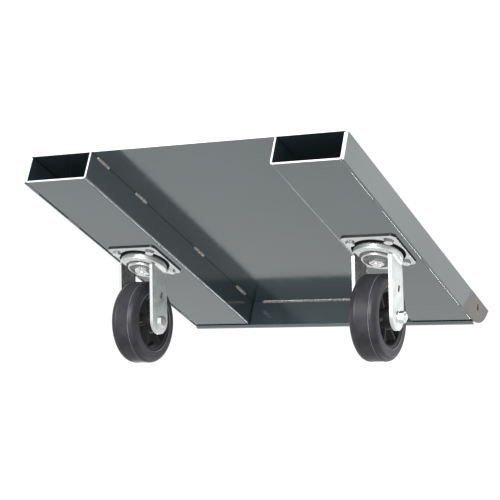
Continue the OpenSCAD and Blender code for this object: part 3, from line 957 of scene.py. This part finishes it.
def split_washer(outer, inner, thick):
    """A spring lock washer along +Z from 0: a ring with a gap, rising slightly as it turns."""
    steps, gap, rise = 60, math.radians(8), 0.25 * MM
    points = []
    for step in range(steps + 1):
        share = step / steps
        angle = gap / 2 + (2 * math.pi - gap) * share
        lift = rise * (share - 0.5)
        for r, z in ((inner, rise / 2), (outer, rise / 2), (outer, thick - rise / 2),
                     (inner, thick - rise / 2)):
            points.append((r * math.cos(angle), r * math.sin(angle), z + lift))
    return points, tube_faces(steps, 4)


def bolt_places(side):
    """The middle of each plate bolt, from the box round the washers."""
    low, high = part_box(side + "_lock_washers")
    radius = 8.6 * MM
    return [(x, y) for x in (low.x + radius, high.x - radius)
            for y in (low.y + radius, high.y - radius)]


def make_plate_fasteners(side):
    """Hex plate bolts put in from below, with spring washers and low nuts in the pocket."""
    draw = random.Random(11 if side == "left" else 12)
    bolt_low, bolt_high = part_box(side + "_plate_bolts")
    nut_low, nut_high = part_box(side + "_plate_nuts")
    washer_low, washer_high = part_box(side + "_lock_washers")
    bolts, nuts, washers = [], [], []
    flats, shank_r, head_h = 14.3 * MM, 4.76 * MM, 6 * MM
    under = bolt_low.z + head_h
    shank = filleted([(under, 0, 0), (under, shank_r, 0),
                      (washer_high.z, shank_r, 0), (washer_high.z, 0, 0)])
    tip_up = Matrix.Translation((0, 0, bolt_high.z)) @ Matrix.Rotation(math.pi, 4, "X")
    face_up = Matrix.Translation((0, 0, under)) @ Matrix.Rotation(math.pi, 4, "X")
    for x, y in bolt_places(side):
        turn = Matrix.Translation((x, y, 0)) @ Matrix.Rotation(draw.uniform(0, 6.28), 4, "Z")
        bolts.append(moved(hex_shape(flats, head_h, 0.0, False), turn @ face_up))
        bolts.append(moved(lathe(shank, "Z", 32), turn))
        bolts.append(moved(thread(shank_r, 0.0, bolt_high.z - washer_high.z), turn @ tip_up))
        nut = hex_shape(flats, nut_high.z - nut_low.z, shank_r)
        nuts.append(moved(nut, Matrix.Translation((0, 0, nut_low.z)) @ turn))
        washer = split_washer(8.4 * MM, 5.0 * MM, washer_high.z - washer_low.z)
        washers.append(moved(washer, Matrix.Translation((0, 0, washer_low.z)) @ turn))
    for name, parts, node in (("_bolt_set", bolts, "_plate_bolts"), ("_nut_set", nuts, "_plate_nuts"),
                              ("_washer_set", washers, "_lock_washers")):
        mesh = make_mesh(side + name, *join_parts(*parts), [FASTENER], sharp=28)
        piece = add_piece(side + name, mesh, "root", [side + node], "zinc_fasteners")
        keep_flat(piece)


def make_axle(side):
    """The axle bolt with its hex head, nut, spring washer and threaded end."""
    axle = JOINTS[side + "_wheel_spin"]["pos_m"]
    low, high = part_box(side + "_axle_bolt")
    nut_low, nut_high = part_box(side + "_axle_nut")
    washer_low, washer_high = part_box(side + "_axle_lock_washer")
    thread_way = 1 if nut_low.x > axle[0] else -1
    shank_r, head_h, flats = 6.35 * MM, 8 * MM, 19 * MM
    length = high.x - low.x
    thread_l = 16 * MM
    upright = Matrix.Rotation(math.radians(90 * thread_way), 4, "Y")

    def along_axle(part, start, turn=0.0):
        """part runs along +Z from 0; it is laid along the axle from start towards the nut."""
        spin = Matrix.Rotation(turn, 4, "Z")
        return moved(part, Matrix.Translation((start, 0, 0)) @ upright @ spin)

    head_end = (low.x if thread_way > 0 else high.x) - axle[0]
    head = moved(hex_shape(flats, head_h, 0.0, False),
                 Matrix.Translation((0, 0, head_h)) @ Matrix.Rotation(math.pi, 4, "X"))
    shank_end = length - thread_l
    shank = lathe(filleted([(head_h, 0, 0), (head_h, shank_r, 0),
                            (shank_end, shank_r, 0), (shank_end, 0, 0)]), "Z", 48)
    screw = moved(thread(shank_r, -length, -shank_end), Matrix.Rotation(math.pi, 4, "X"))
    bolt = join_parts(*(along_axle(part, head_end, 0.35) for part in (head, shank, screw)))
    nut_start = (nut_low.x if thread_way > 0 else nut_high.x) - axle[0]
    nut = along_axle(hex_shape(flats, nut_high.x - nut_low.x, shank_r), nut_start, 0.8)
    washer_start = (washer_low.x if thread_way > 0 else washer_high.x) - axle[0]
    washer = along_axle(split_washer(10.8 * MM, 6.6 * MM, washer_high.x - washer_low.x), washer_start)
    for name, part, node in (("_axle_screw", bolt, "_axle_bolt"), ("_hex_nut", nut, "_axle_nut"),
                             ("_spring_washer", washer, "_axle_lock_washer")):
        mesh = make_mesh(side + name, *part, [FASTENER], sharp=28)
        piece = add_piece(side + name, mesh, side + "_swivel", [side + node], "zinc_fasteners", axle)
        keep_flat(piece)


def make_king_nut(side):
    """The kingpin's nut, chamfered, with the threaded pin end through it, and the race cup."""
    swivel = JOINTS[side + "_swivel_turn"]["pos_m"]
    at = (swivel[0], swivel[1], 0)
    low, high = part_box(side + "_kingpin_nut")
    pin_low, pin_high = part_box(side + "_kingpin")
    pin_r = 8 * MM
    nut = moved(hex_shape(24 * MM, high.z - low.z, pin_r), Matrix.Translation((0, 0, low.z)))
    mesh = make_mesh(side + "_crown_nut", *nut, [FASTENER], sharp=28)
    keep_flat(add_piece(side + "_crown_nut", mesh, "root", [side + "_kingpin_nut"],
                        "zinc_fasteners", at))
    pin = join_parts(thread(pin_r, pin_low.z, high.z),
                     lathe(filleted([(high.z, 0, 0), (high.z, pin_r, 0), (pin_high.z - 4 * MM, pin_r, 0),
                                     (pin_high.z - 4 * MM, 14 * MM, 0.4 * MM),
                                     (pin_high.z, 14 * MM, 0.6 * MM), (pin_high.z, 0, 0)]), "Z", 64))
    mesh = make_mesh(side + "_swivel_pin", *pin, [FASTENER], sharp=28)
    keep_flat(add_piece(side + "_swivel_pin", mesh, "root", [side + "_kingpin"],
                        "zinc_fasteners", at))
    cup_low, cup_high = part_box(side + "_lower_race")
    outer = (cup_high.x - cup_low.x) / 2
    disc_z = cup_high.z - 4 * MM
    cup = filleted([(disc_z, pin_r + 0.05 * MM, 0.3 * MM), (disc_z, outer - 5 * MM, 3 * MM),
                    (cup_low.z, outer - 2.6 * MM, 0.8 * MM), (cup_low.z, outer, 0.9 * MM),
                    (cup_high.z, outer, 3.2 * MM), (cup_high.z, pin_r + 0.05 * MM, 0.3 * MM)])
    points, faces = lathe(cup, "Z", 96)
    # Faces inside the cup's underside take the dark zinc: painted shade
    mesh = make_mesh(side + "_race_cup", points, faces, [ZINC, SHADED_ZINC],
                     inside_faces(points, faces, outer - 2.5 * MM, disc_z + 1 * MM), 40)
    keep_flat(add_piece(side + "_race_cup", mesh, "root", [side + "_lower_race"], "zinc_plate", at))


def dress_cad_nodes():
    """Every CAD node gets its slot's material, and those that stay, apart from the balls, get
    softened edges."""
    stay = ("caster_plate", "upper_balls", "lower_balls", "bearing_sleeve", "thrust_washers",
            "hub_rollers", "hub_retainers", "grease_fitting")
    for name, piece in frame["nodes"].items():
        piece.data.materials.clear()
        plate = name.endswith("caster_plate")
        piece.data.materials.append(PLATE if plate else MATERIAL_OF_SLOT[SLOTS[name]])
        piece.visible_glossy = SLOTS[name] == "grey_paint"
        if name.endswith(stay) and not name.endswith("balls"):
            weld = piece.modifiers.new("weld", "WELD")
            weld.merge_threshold = 0.00001
            round_edges(piece, (0.9 if plate else 0.3) * MM, 2)


# ---------- stage ----------

def make_floor():
    """A plain pale floor, seen only from above, as the camera here is under it. It throws no
    shadow and no light back."""
    material, tree, shader = new_material("pale_floor")
    set_values(shader, Base_Color=(0.80, 0.80, 0.80), Roughness=0.9)
    geometry = tree.nodes.new("ShaderNodeNewGeometry")
    clear = tree.nodes.new("ShaderNodeBsdfTransparent")
    mix = tree.nodes.new("ShaderNodeMixShader")
    tree.links.new(geometry.outputs["Backfacing"], mix.inputs["Fac"])
    tree.links.new(shader.outputs["BSDF"], mix.inputs[1])
    tree.links.new(clear.outputs["BSDF"], mix.inputs[2])
    tree.links.new(mix.outputs["Shader"], tree.nodes["Material Output"].inputs["Surface"])
    bpy.ops.mesh.primitive_plane_add(size=40)
    floor = bpy.context.object
    floor.name = "floor"
    floor.data.materials.append(material)
    floor.visible_diffuse = False
    floor.visible_glossy = False
    floor.visible_shadow = False


def make_world():
    """White studio all round, a little greyer below the horizon."""
    world = bpy.data.worlds.new("studio")
    bpy.context.scene.world = world
    world.use_nodes = True
    tree = world.node_tree
    source = tree.nodes.new("ShaderNodeTexCoord")
    height = along(tree, source.outputs["Generated"], (0, 0, 1))
    shade = ramp(tree, spread(tree, height, -0.48, -0.20, 0.0, 1.0), [(0.0, 0.72), (1.0, 1.0)])
    tree.links.new(shade, tree.nodes["Background"].inputs["Color"])
    tree.nodes["Background"].inputs["Strength"].default_value = 1.06


def add_area(name, place_at, aim, size, power, colour=(1.0, 1.0, 1.0)):
    data = bpy.data.lights.new(name, "AREA")
    data.shape = "RECTANGLE"
    data.size, data.size_y = size
    data.energy = power
    data.color = colour
    light = bpy.data.objects.new(name, data)
    bpy.context.scene.collection.objects.link(light)
    light.location = place_at
    light.rotation_euler = (Vector(aim) - Vector(place_at)).to_track_quat("-Z", "Y").to_euler()
    light.visible_camera = False
    return light


make_camera()
dress_cad_nodes()
make_deck()
make_end_plate()
make_welds()
for side in SIDES:
    make_channel(side)
    make_fork(side)
    make_tyre(side)
    make_core(side)
    make_plate_fasteners(side)
    make_axle(side)
    make_king_nut(side)
make_floor()
make_world()
add_area("key", (0.2, -3.0, 0.0), (0, 0, 0.2), (1.6, 1.2), 115)
add_area("leg_strip", (1.2, 1.9, 0.30), (-0.2, -0.02, 0.12), (0.6, 0.25), 2.5)
add_area("low_strip", (0.8, 2.6, -1.45), (0, 0, 0.2), (0.15, 2.2), 15)
add_area("left_strip", (-1.3, 1.95, 0.15), (0.17, 0, 0.19), (0.5, 0.4), 2.5)
add_area("side_fill", (3.6, 2.6, 1.2), (0.3, 0, 0.2), (4.0, 3.0), 8)
bpy.context.scene.view_settings.view_transform = "Standard"
